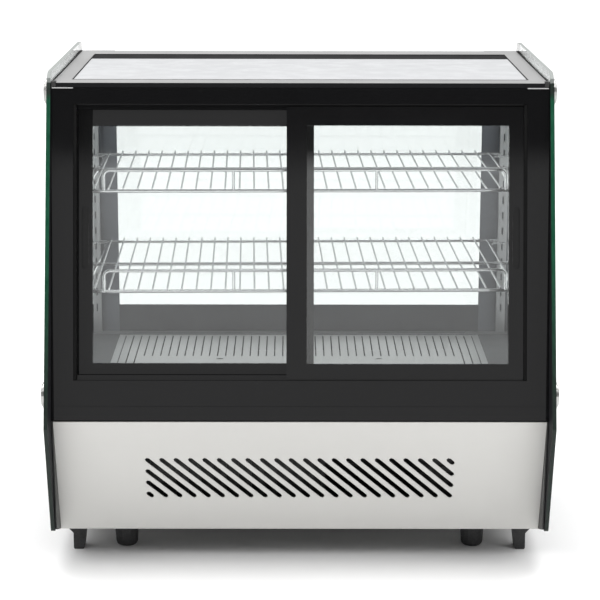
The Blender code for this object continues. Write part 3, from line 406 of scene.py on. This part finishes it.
# Plain finishes, as settings of surface()
FINISHES = {
    "base_steel": {
        "color": (0.575, 0.57, 0.55), "roughness": 0.46, "metallic": 0.3, "spread": 0.05,
        "tint": 0.03, "patch": 3.0, "grain": (0.02, 1, 1), "depth": 0.000006,
    },
    "deck_steel": {
        "color": (0.70, 0.70, 0.70), "roughness": 0.45, "metallic": 1.0,
        "patch": 6.0, "grain": (1, 0.03, 1), "depth": 0.00001,
    },
    "top_steel": {
        "color": (0.50, 0.50, 0.50), "roughness": 0.36, "metallic": 1.0,
        "tint": 0.05, "patch": 6.0, "grain": (1, 0.02, 1), "depth": 0.00001,
    },
    "strip_steel": {
        "color": (0.52, 0.52, 0.53), "roughness": 0.42, "metallic": 1.0,
        "tint": 0.07, "patch": 12.0, "grain": (1, 1, 0.03), "depth": 0.00001,
    },
    # painted shade: the tray's steel is darkened to stand for the shade under the case; the dust is
    # real
    "tray_steel_painted_shade": {
        "color": (0.20, 0.20, 0.195), "roughness": 0.45, "metallic": 1.0, "spread": 0.15,
        "tint": 0.15, "patch": 12.0, "dust": 0.15,
    },
    "chrome": {
        "color": (0.76, 0.765, 0.77), "roughness": 0.15, "metallic": 1.0,
        "tint": 0.05, "patch": 30.0, "grain_scale": 300.0, "depth": 0.00001,
    },
    "coil": {
        "color": (0.62, 0.63, 0.64), "roughness": 0.42, "metallic": 1.0, "spread": 0.2,
        "tint": 0.12, "patch": 30.0, "grain": (1, 1, 0.1), "dust": 0.1,
    },
    "black_frame": {
        "color": (0.0050, 0.0050, 0.0054), "roughness": 0.05, "spread": 0.03,
        "tint": 0.12, "patch": 8.0, "grain_scale": 1600.0, "depth": 0.000002, "wear": 0.35,
    },
    "door_black": {
        "color": (0.0055, 0.0055, 0.0058), "roughness": 0.06, "spread": 0.03,
        "tint": 0.12, "patch": 10.0, "grain_scale": 1600.0, "depth": 0.000002, "wear": 0.3,
    },
    "black_sheet": {
        "color": (0.012, 0.012, 0.012), "roughness": 0.38, "spread": 0.1,
        "tint": 0.15, "grain_scale": 1500.0, "wear": 0.4,
    },
    "top_edge": {
        "color": (0.007, 0.007, 0.008), "roughness": 0.3, "spread": 0.1,
        "tint": 0.15, "patch": 20.0, "depth": 0.00001, "specular": 0.08,
    },
    # black enamel: the compressor's own paint; on the condenser it is painted shade, so the
    # grille's slots look dark
    "enamel": {
        "color": (0.02, 0.02, 0.021), "roughness": 0.4, "spread": 0.2,
        "tint": 0.2, "patch": 20.0, "dust": 0.12,
    },
    "liner": {
        "color": (0.095, 0.097, 0.10), "roughness": 0.5, "spread": 0.12,
        "tint": 0.12, "grain_scale": 700.0, "depth": 0.00004,
    },
    "ledge": {
        "color": (0.20, 0.203, 0.208), "roughness": 0.45, "spread": 0.12,
        "tint": 0.1, "grain_scale": 700.0, "depth": 0.00004,
    },
    "fan": {
        "color": (0.028, 0.028, 0.03), "roughness": 0.45, "spread": 0.15,
        "tint": 0.15, "patch": 30.0, "dust": 0.1,
    },
    "control": {
        "color": (0.030, 0.030, 0.032), "roughness": 0.32, "spread": 0.12,
        "tint": 0.1, "patch": 30.0, "grain_scale": 1200.0, "depth": 0.00003, "wear": 0.3,
    },
    "window": {
        "color": (0.020, 0.006, 0.006), "roughness": 0.08, "spread": 0.04,
        "tint": 0.1, "patch": 60.0, "depth": 0.000002, "coat": 0.4,
    },
    "rubber": {
        "color": (0.020, 0.020, 0.021), "roughness": 0.62, "spread": 0.2,
        "tint": 0.2, "patch": 40.0, "grain_scale": 500.0, "depth": 0.00006, "dust": 0.05,
    },
    "gasket": {
        "color": (0.004, 0.004, 0.004), "roughness": 0.6, "spread": 0.2,
        "tint": 0.2, "patch": 60.0, "depth": 0.00003, "specular": 0.12,
    },
    "diffuser": {
        "color": (0.84, 0.84, 0.82), "roughness": 0.4, "spread": 0.1,
        "tint": 0.02, "grain": (1, 0.1, 1), "grain_scale": 500.0,
    },
}

MATERIALS = {name: surface(name, **finish) for name, finish in FINISHES.items()}
MATERIALS |= {
    "door_pane": door_pane_material(),
    # each pair of colours is the side print in painted shade, high up, then in painted light, low
    # down
    "front_pane_inside": front_pane_material(
        "front_glass_inside", (0.085, 0.087, 0.092, 1.0), (0.165, 0.172, 0.190, 1.0)
    ),
    "front_pane": front_pane_material(
        "front_glass_outside", (0.012, 0.012, 0.014, 1.0), (0.014, 0.014, 0.016, 1.0)
    ),
    "side_pane": side_pane_material("side_glass_printed", (0.06, 0.5)),
    "side_pane_inside": side_pane_material("side_glass_print_back", (0.6, 0.1)),
    "glass_edge": glass_edge_material(),
    "top_pane": top_pane_material(),
    "cap_metal": turned_metal_material("cap_metal", (0.45, 0.45, 0.44, 1.0), 0.24, "X"),
    "lit_mark": mark_material("lit_mark", srgb(226, 226, 222), 0.0),
    "lit_lamp": mark_material("lit_lamp", srgb(60, 190, 70), 1.2),
}


# Mesh building


def new_piece(name, mesh, material, body="cabinet"):
    obj = bpy.data.objects.new(name, mesh)
    bpy.context.scene.collection.objects.link(obj)
    mesh.materials.clear()
    mesh.materials.append(MATERIALS[material])
    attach(obj, body)
    return obj


def bevel(obj, width, segments=2):
    modifier = obj.modifiers.new("soft_edges", "BEVEL")
    modifier.width, modifier.segments = width, segments
    modifier.limit_method, modifier.angle_limit = "ANGLE", math.radians(40)
    return obj


def smooth(obj, angle=35):
    obj.data.shade_smooth()
    obj.data.set_sharp_from_angle(angle=math.radians(angle))
    return obj


def tubes(name, runs, material):
    """Round wires as one mesh. A run is (radius, points)."""
    curve = bpy.data.curves.new(name, "CURVE")
    curve.dimensions, curve.use_fill_caps = "3D", True
    curve.bevel_depth, curve.bevel_resolution = 1.0, 3
    for radius, points in runs:
        spline = curve.splines.new("POLY")
        spline.points.add(len(points) - 1)
        for point, co in zip(spline.points, points):
            point.co, point.radius = (*co, 1), radius
    holder = bpy.data.objects.new(name, curve)
    bpy.context.scene.collection.objects.link(holder)
    bpy.context.view_layer.update()
    final = holder.evaluated_get(bpy.context.evaluated_depsgraph_get())
    mesh = bpy.data.meshes.new_from_object(final)
    bpy.data.objects.remove(holder)
    bpy.data.curves.remove(curve)
    return smooth(new_piece(name, mesh, material), 60)


def turn_corner(before, corner, after, radius, steps=5):
    """Points of a wire that bends at a corner."""
    corner = Vector(corner)
    to_before = (Vector(before) - corner).normalized()
    to_after = (Vector(after) - corner).normalized()
    half = to_before.angle(to_after) / 2
    centre = corner + (to_before + to_after).normalized() * radius / math.sin(half)
    start = corner + to_before * radius / math.tan(half) - centre
    end = corner + to_after * radius / math.tan(half) - centre
    return [centre + start.slerp(end, i / steps).normalized() * radius for i in range(steps + 1)]


def boxes(name, corners, material, body="cabinet", tilt=None, width=0.0003):
    """Bevelled bars, each between its lowest and highest corner, in the frame that tilt gives."""
    bm = bmesh.new()
    for low, high in corners:
        low, high = Vector(low), Vector(high)
        place = Matrix.Translation((low + high) / 2) @ Matrix.Diagonal((*(high - low), 1.0))
        bmesh.ops.create_cube(bm, size=1.0, matrix=place)
    if tilt is not None:
        bm.transform(tilt)
    mesh = bpy.data.meshes.new(name)
    bm.to_mesh(mesh)
    bm.free()
    return smooth(bevel(new_piece(name, mesh, material, body), width))


# Slopes: local Z runs up the slope. Local Y runs into the case on the rear slope, and out of it on
# the front one.
REAR_SLOPE = Matrix.Translation((0, -0.2450, 0.2220)) @ Matrix.Rotation(-DOOR_LEAN, 4, "X")
FRONT_BASE_SLOPE = Matrix.Translation((0, 0.2110, 0.0465)) @ Matrix.Rotation(-BASE_LEAN, 4, "X")


# Carried-over CAD pieces


def dress(names, material, width=0.0, segments=2):
    for name in names:
        obj = NODES[name]
        obj.data.materials.clear()
        obj.data.materials.append(MATERIALS[material])
        if width:
            bevel(obj, width, segments)
        smooth(obj)


def dress_side_glass(side, sign):
    """Clear and printed faces, and green ground edges."""
    obj = NODES[f"{side}_side_glass"]
    obj.data.materials.clear()
    for material in ("side_pane", "side_pane_inside", "glass_edge"):
        obj.data.materials.append(MATERIALS[material])
    for face in obj.data.polygons:
        outwards = face.normal.x * sign
        face.material_index = 2 if abs(outwards) < 0.9 else int(outwards < 0)
    smooth(obj)


def dress_front_glass():
    """Black enamel as the customer sees it, with its greyer back towards the chamber."""
    obj = NODES["front_glass"]
    obj.data.materials.clear()
    for material in ("front_pane", "front_pane_inside"):
        obj.data.materials.append(MATERIALS[material])
    for face in obj.data.polygons:
        face.material_index = int(face.normal.y < -0.9)
    smooth(obj)


def dress_top_frame():
    """Bare brushed metal on top, black where the edge faces the operator."""
    obj = NODES["top_frame"]
    obj.data.materials.clear()
    for material in ("top_steel", "top_edge"):
        obj.data.materials.append(MATERIALS[material])
    for face in obj.data.polygons:
        face.material_index = 1 if face.normal.y < -0.9 and face.center.y < -0.14 else 0
    smooth(obj)


def dress_cad():
    dress(["rear_grille_panel", "front_base_panel"], "base_steel", 0.0003)
    dress(["base_tray"], "tray_steel_painted_shade")
    dress(["deck_plate_left", "deck_plate_right"], "deck_steel", 0.0002)
    dress([f"upright_{end}_{side}" for end in ENDS for side, _ in SIDES], "strip_steel", 0.0004)
    dress(["left_base_side", "right_base_side", "fan_shroud"], "black_sheet", 0.0003)
    dress(["insulated_well", "drain_pan"], "liner")
    dress(["air_outlet_ledge"], "ledge", 0.0002)
    dress([f"foot_{end}_{side}" for end in ENDS for side, _ in SIDES], "rubber")
    dress(["corner_leg_left", "corner_leg_right"], "rubber", 0.0015, 3)
    supports = [f"{shelf}_shelf_support_{side}" for shelf in SHELVES for side, _ in SIDES]
    dress(supports, "chrome", 0.0005)
    dress(["rear_door_frame"], "black_frame", 0.0011)
    dress(["sill_strip"], "black_frame", 0.0007)
    dress(["left_door_frame", "right_door_frame"], "door_black", 0.0012)
    dress(["left_door_glass", "right_door_glass"], "door_pane")
    dress(["top_glass"], "top_pane", 0.0004)
    dress(["light_housing", "evaporator"], "coil", 0.0003)
    dress(["light_diffuser"], "diffuser", 0.0004)
    dress([n for n in NODES if n.startswith("cap_")], "cap_metal", 0.0003)
    # painted shade: the condenser is made black so that the grille's slots show dark
    dress(["compressor", "condenser"], "enamel")
    dress(["condenser_fan", "evaporator_fan"], "fan")
    dress(["cable_gland"], "control")
    controls = ["thermostat", "thermostat_up_key", "thermostat_down_key", "switch_housing"]
    dress([*controls, "power_rocker", "light_rocker"], "control", 0.0005)
    dress_front_glass()
    dress_top_frame()
    for side, sign in SIDES:
        dress_side_glass(side, sign)


# Pieces that the CAD model leaves plain


def make_shelf(name, z, rear_y, middle_y):
    """Round wires on three rails, with a bent guard bar at the operator's edge."""
    near_y, mid_y = rear_y - SHELF_FRONT_Y, middle_y - SHELF_FRONT_Y
    rail_z = RAIL_SUNK - WIRE_R - RAIL_R
    runs = []
    for i in range(WIRES):
        x = WIRE_PITCH * (i - (WIRES - 1) / 2)
        nose = [(x, near_y - 0.0005, -0.0003), (x, near_y + 0.0010, 0)]
        tip = [(x, -0.0010, 0), (x, WIRE_PAST_RAIL - 0.0020, 0.0003), (x, WIRE_PAST_RAIL, 0.0008)]
        runs.append((WIRE_R, nose + tip))
    for y, half in ((0, SHELF_HALF), (mid_y, SHELF_HALF), (near_y, SHELF_REAR_HALF)):
        runs.append((RAIL_R, [(-half, y, rail_z), (half, y, rail_z)]))
    foot_left, left = (-GUARD_HALF, near_y, rail_z), (-GUARD_HALF, near_y, GUARD_HIGH)
    right, foot_right = (GUARD_HALF, near_y, GUARD_HIGH), (GUARD_HALF, near_y, rail_z)
    guard = [foot_left, *turn_corner(foot_left, left, right, GUARD_BEND)]
    guard += [*turn_corner(left, right, foot_right, GUARD_BEND), foot_right]
    runs.append((GUARD_R, guard))
    for x in (-POST_X, POST_X):
        runs.append((POST_R, [(x, near_y, rail_z), (x, near_y, GUARD_HIGH)]))
    place = Matrix.Translation((0, SHELF_FRONT_Y, z)) @ Matrix.Rotation(SHELF_YAW, 4, "Z")
    placed = [(radius, [place @ Vector(point) for point in points]) for radius, points in runs]
    shelf = tubes(f"{name}_shelf_wires", placed, "chrome")
    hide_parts(f"{name}_shelf")


def make_top_trim():
    """The gasket round the top glass, and the seals and corner blocks along the side glass."""
    low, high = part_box("top_glass")
    bead = 0.0016
    left_x, right_x, near_y, far_y = low.x - bead, high.x + bead, low.y - bead, high.y + bead
    z = (TOP_Z - 0.0012, TOP_Z + 0.0003)
    bars = [
        ((left_x, near_y, z[0]), (right_x, low.y, z[1])),
        ((left_x, high.y, z[0]), (right_x, far_y, z[1])),
        ((left_x, low.y, z[0]), (low.x, high.y, z[1])),
        ((high.x, low.y, z[0]), (right_x, high.y, z[1])),
    ]
    boxes("top_glass_gasket", bars, "gasket")
    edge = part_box("top_frame")[1].x
    rear_y, front_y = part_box("top_frame")[0].y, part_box("top_frame")[1].y
    for side, sign in SIDES:
        inner, outer = sorted((sign * (edge - 0.0012), sign * (edge + 0.0006)))
        bar = ((inner, rear_y + 0.004, TOP_Z - 0.002), (outer, front_y, TOP_Z + 0.0012))
        boxes(f"side_seal_{side}", [bar], "gasket")
        inner, outer = sorted((sign * (edge - 0.0065), sign * (edge + 0.0004)))
        low_corner = (inner, rear_y - 0.0002, TOP_Z - 0.0060)
        high_corner = (outer, rear_y + 0.0090, TOP_Z + 0.0022)
        corners = [(low_corner, high_corner)]
        block = boxes(f"top_corner_{side}", corners, "black_frame", width=0.0008)


def make_door_buffers():
    """Rubber buffers on the sides of the doors' opening, and a painted highlight on top of its
    stiles: bright steel bars.
    """
    rear_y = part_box("top_frame")[0].y
    for side, sign in SIDES:
        low_x, high_x = sorted((sign * (DOOR_OUTER_X + 0.0005), sign * (OPENING_HALF + 0.0003)))
        buffer = ((low_x, 0.0010, DOOR_LOW - 0.0020), (high_x, 0.0400, DOOR_HIGH + 0.0028))
        made = boxes(f"door_buffer_{side}", [buffer], "gasket", tilt=REAR_SLOPE)
        # painted highlight: a bright steel bar stands for the light caught by the ledge at each end
        low_x, high_x = sorted((sign * OPENING_HALF, sign * (BODY_HALF - 0.0008)))
        cap = ((low_x, rear_y - 0.0014, TOP_Z - 0.0076), (high_x, rear_y + 0.0002, TOP_Z - 0.0062))
        boxes(f"stile_cap_{side}", [cap], "top_steel", width=0.0002)


def make_door_lip():
    """The face of the left door's top rail, which leans out a little more than the door does."""
    middle = Matrix.Translation((-0.1435, 0.0189, 0.4186))
    place = REAR_SLOPE @ middle @ Matrix.Rotation(math.radians(1.5), 4, "X")
    bar = ((-0.1420, -0.0006, -0.0116), (0.1420, 0.0006, 0.0110))
    lip = boxes("left_door_lip", [bar], "door_black", "left_door", place, 0.0004)


def make_control_marks():
    """The display window and the lamp of the thermostat, and the marks on its keys."""
    x, face, sunk = THERMOSTAT_X, THERMOSTAT_FACE, THERMOSTAT_FACE - 0.0005
    window = ((x - WINDOW_HALF, sunk, WINDOW_LOW), (x + WINDOW_HALF, face + 0.0004, WINDOW_HIGH))
    made = boxes("thermostat_window", [window], "window", tilt=FRONT_BASE_SLOPE)
    low = (x + LAMP_X, sunk, LAMP_LOW)
    high = (x + LAMP_X + LAMP_SIZE, face + 0.0005, LAMP_LOW + LAMP_SIZE)
    boxes("thermostat_lamp", [(low, high)], "lit_lamp", tilt=FRONT_BASE_SLOPE)
    for name, key_x in (("up", x - KEY_X), ("down", x + KEY_X)):
        low = (key_x - MARK_HALF_LONG, KEY_FACE - 0.0002, KEY_MIDDLE - MARK_HALF_HIGH)
        high = (key_x + MARK_HALF_LONG, KEY_FACE + 0.0002, KEY_MIDDLE + MARK_HALF_HIGH)
        key = f"thermostat_{name}_key"
        mark = boxes(f"{name}_key_mark", [(low, high)], "lit_mark", key, FRONT_BASE_SLOPE, 0.0001)


def make_pipes():
    """Insulated lines: hot gas to the condenser, and liquid and suction lines of the coil."""
    hot_gas = [(0.1650, -0.1000, 0.1000), (0.1250, -0.1000, 0.1000), (0.0300, -0.1490, 0.1500)]
    liquid = [(0.0300, -0.1490, 0.0800), (0.0700, -0.1450, 0.0800), (0.0700, -0.0600, 0.0640)]
    suction = [(0.2150, -0.0450, 0.1100), (0.2150, -0.0380, 0.0700), (0.0600, -0.0380, 0.0660)]
    runs = [(0.0030, hot_gas), (0.0025, liquid), (0.0040, suction)]
    tubes("refrigerant_pipes", runs, "rubber")


def make_stage():
    """The pale floor."""
    bm = bmesh.new()
    bmesh.ops.create_grid(bm, x_segments=1, y_segments=1, size=FLOOR_HALF)
    mesh = bpy.data.meshes.new("floor")
    bm.to_mesh(mesh)
    bm.free()
    floor = bpy.data.objects.new("floor", mesh)
    bpy.context.scene.collection.objects.link(floor)
    tree = Tree("floor_paper")
    cloud = tree.noise(1.3, 3.0)
    shader = tree.add(
        "BsdfPrincipled",
        {
            "Base Color": tree.mix_color(cloud, (0.93, 0.93, 0.93, 1.0), (0.95, 0.95, 0.95, 1.0)),
            "Roughness": tree.ramp(cloud, 0.3, 0.7, 0.55, 0.65),
            "Specular IOR Level": 0.2,
        },
    )
    mesh.materials.append(tree.show(shader.outputs[0]))


def make_world():
    """A white studio with a dark wall high up behind the camera."""
    world = bpy.data.worlds.new("studio")
    bpy.context.scene.world = world
    world.use_nodes = True
    tree = world.node_tree
    tree.nodes.clear()
    add, link = tree.nodes.new, tree.links.new

    def math_node(operation, a, b):
        made = add("ShaderNodeMath")
        made.operation = operation
        for i, value in enumerate((a, b)):
            if isinstance(value, bpy.types.NodeSocket):
                link(value, made.inputs[i])
            else:
                made.inputs[i].default_value = value
        return made.outputs[0]

    def step(value, low, high):
        made = add("ShaderNodeMapRange")
        link(value, made.inputs["Value"])
        made.inputs["From Min"].default_value, made.inputs["From Max"].default_value = low, high
        return made.outputs[0]

    direction = add("ShaderNodeSeparateXYZ")
    link(add("ShaderNodeTexCoord").outputs["Generated"], direction.inputs[0])
    _, y, z = direction.outputs
    behind = step(y, WALL_START_Y, WALL_FULL_Y)
    low_part = math_node("SUBTRACT", 1.0, step(z, *WALL_EDGE_Z))
    rear_light = math_node("ADD", math_node("MULTIPLY", low_part, WALL_LOW - WALL_HIGH), WALL_HIGH)
    rear_light = math_node("MAXIMUM", rear_light, step(z, *CEILING_Z))
    rising = math_node("ADD", math_node("MULTIPLY", step(z, *RISE_Z), 1.0 - HORIZON), HORIZON)
    around = math_node("MULTIPLY", math_node("SUBTRACT", 1.0, behind), rising)
    light = math_node("ADD", around, math_node("MULTIPLY", behind, rear_light))
    seen = add("ShaderNodeLightPath").outputs["Is Camera Ray"]
    shown = math_node("MAXIMUM", seen, light)
    background = add("ShaderNodeBackground")
    background.inputs["Color"].default_value = (1.0, 1.0, 1.0, 1.0)
    link(shown, background.inputs["Strength"])
    link(background.outputs[0], add("ShaderNodeOutputWorld").inputs["Surface"])


def add_area(name, place, size, power):
    light = bpy.data.lights.new(name, "AREA")
    light.shape, light.size, light.size_y, light.energy = "RECTANGLE", *size, power
    obj = bpy.data.objects.new(name, light)
    obj.location = place
    aim = Vector(LIGHT_AIM) - Vector(place)
    obj.rotation_euler = aim.to_track_quat("-Z", "Y").to_euler()
    bpy.context.scene.collection.objects.link(obj)


def make_lights():
    sun = bpy.data.lights.new("ceiling", "SUN")
    sun.energy, sun.angle = SUN_POWER, SUN_SPREAD
    holder = bpy.data.objects.new("ceiling", sun)
    holder.rotation_euler = (SUN_TILT, 0, 0)
    bpy.context.scene.collection.objects.link(holder)
    add_area("key", (-1.6, -1.9, 2.4), (1.6, 1.2), 22)
    add_area("fill", (1.9, -1.6, 1.6), (1.4, 1.4), 12)


def make_camera():
    camera = bpy.data.cameras.new("camera")
    camera.lens, camera.sensor_width = CAMERA_LENS, CAMERA_SENSOR
    camera.clip_start, camera.clip_end = 0.05, 200.0
    obj = bpy.data.objects.new("camera", camera)
    turn = Euler((CAMERA_PITCH, 0, CAMERA_TURN)).to_matrix().to_4x4()
    roll = Matrix.Rotation(CAMERA_ROLL, 4, "Z")
    obj.matrix_world = Matrix.Translation(CAMERA_PLACE) @ turn @ roll
    bpy.context.scene.collection.objects.link(obj)
    bpy.context.scene.camera = obj


dress_cad()
for shelf_name, sizes in SHELVES.items():
    make_shelf(shelf_name, **sizes)
make_top_trim()
make_door_buffers()
make_door_lip()
make_control_marks()
make_pipes()
make_stage()
make_world()
make_lights()
make_camera()
bpy.context.scene.view_settings.view_transform = "Standard"
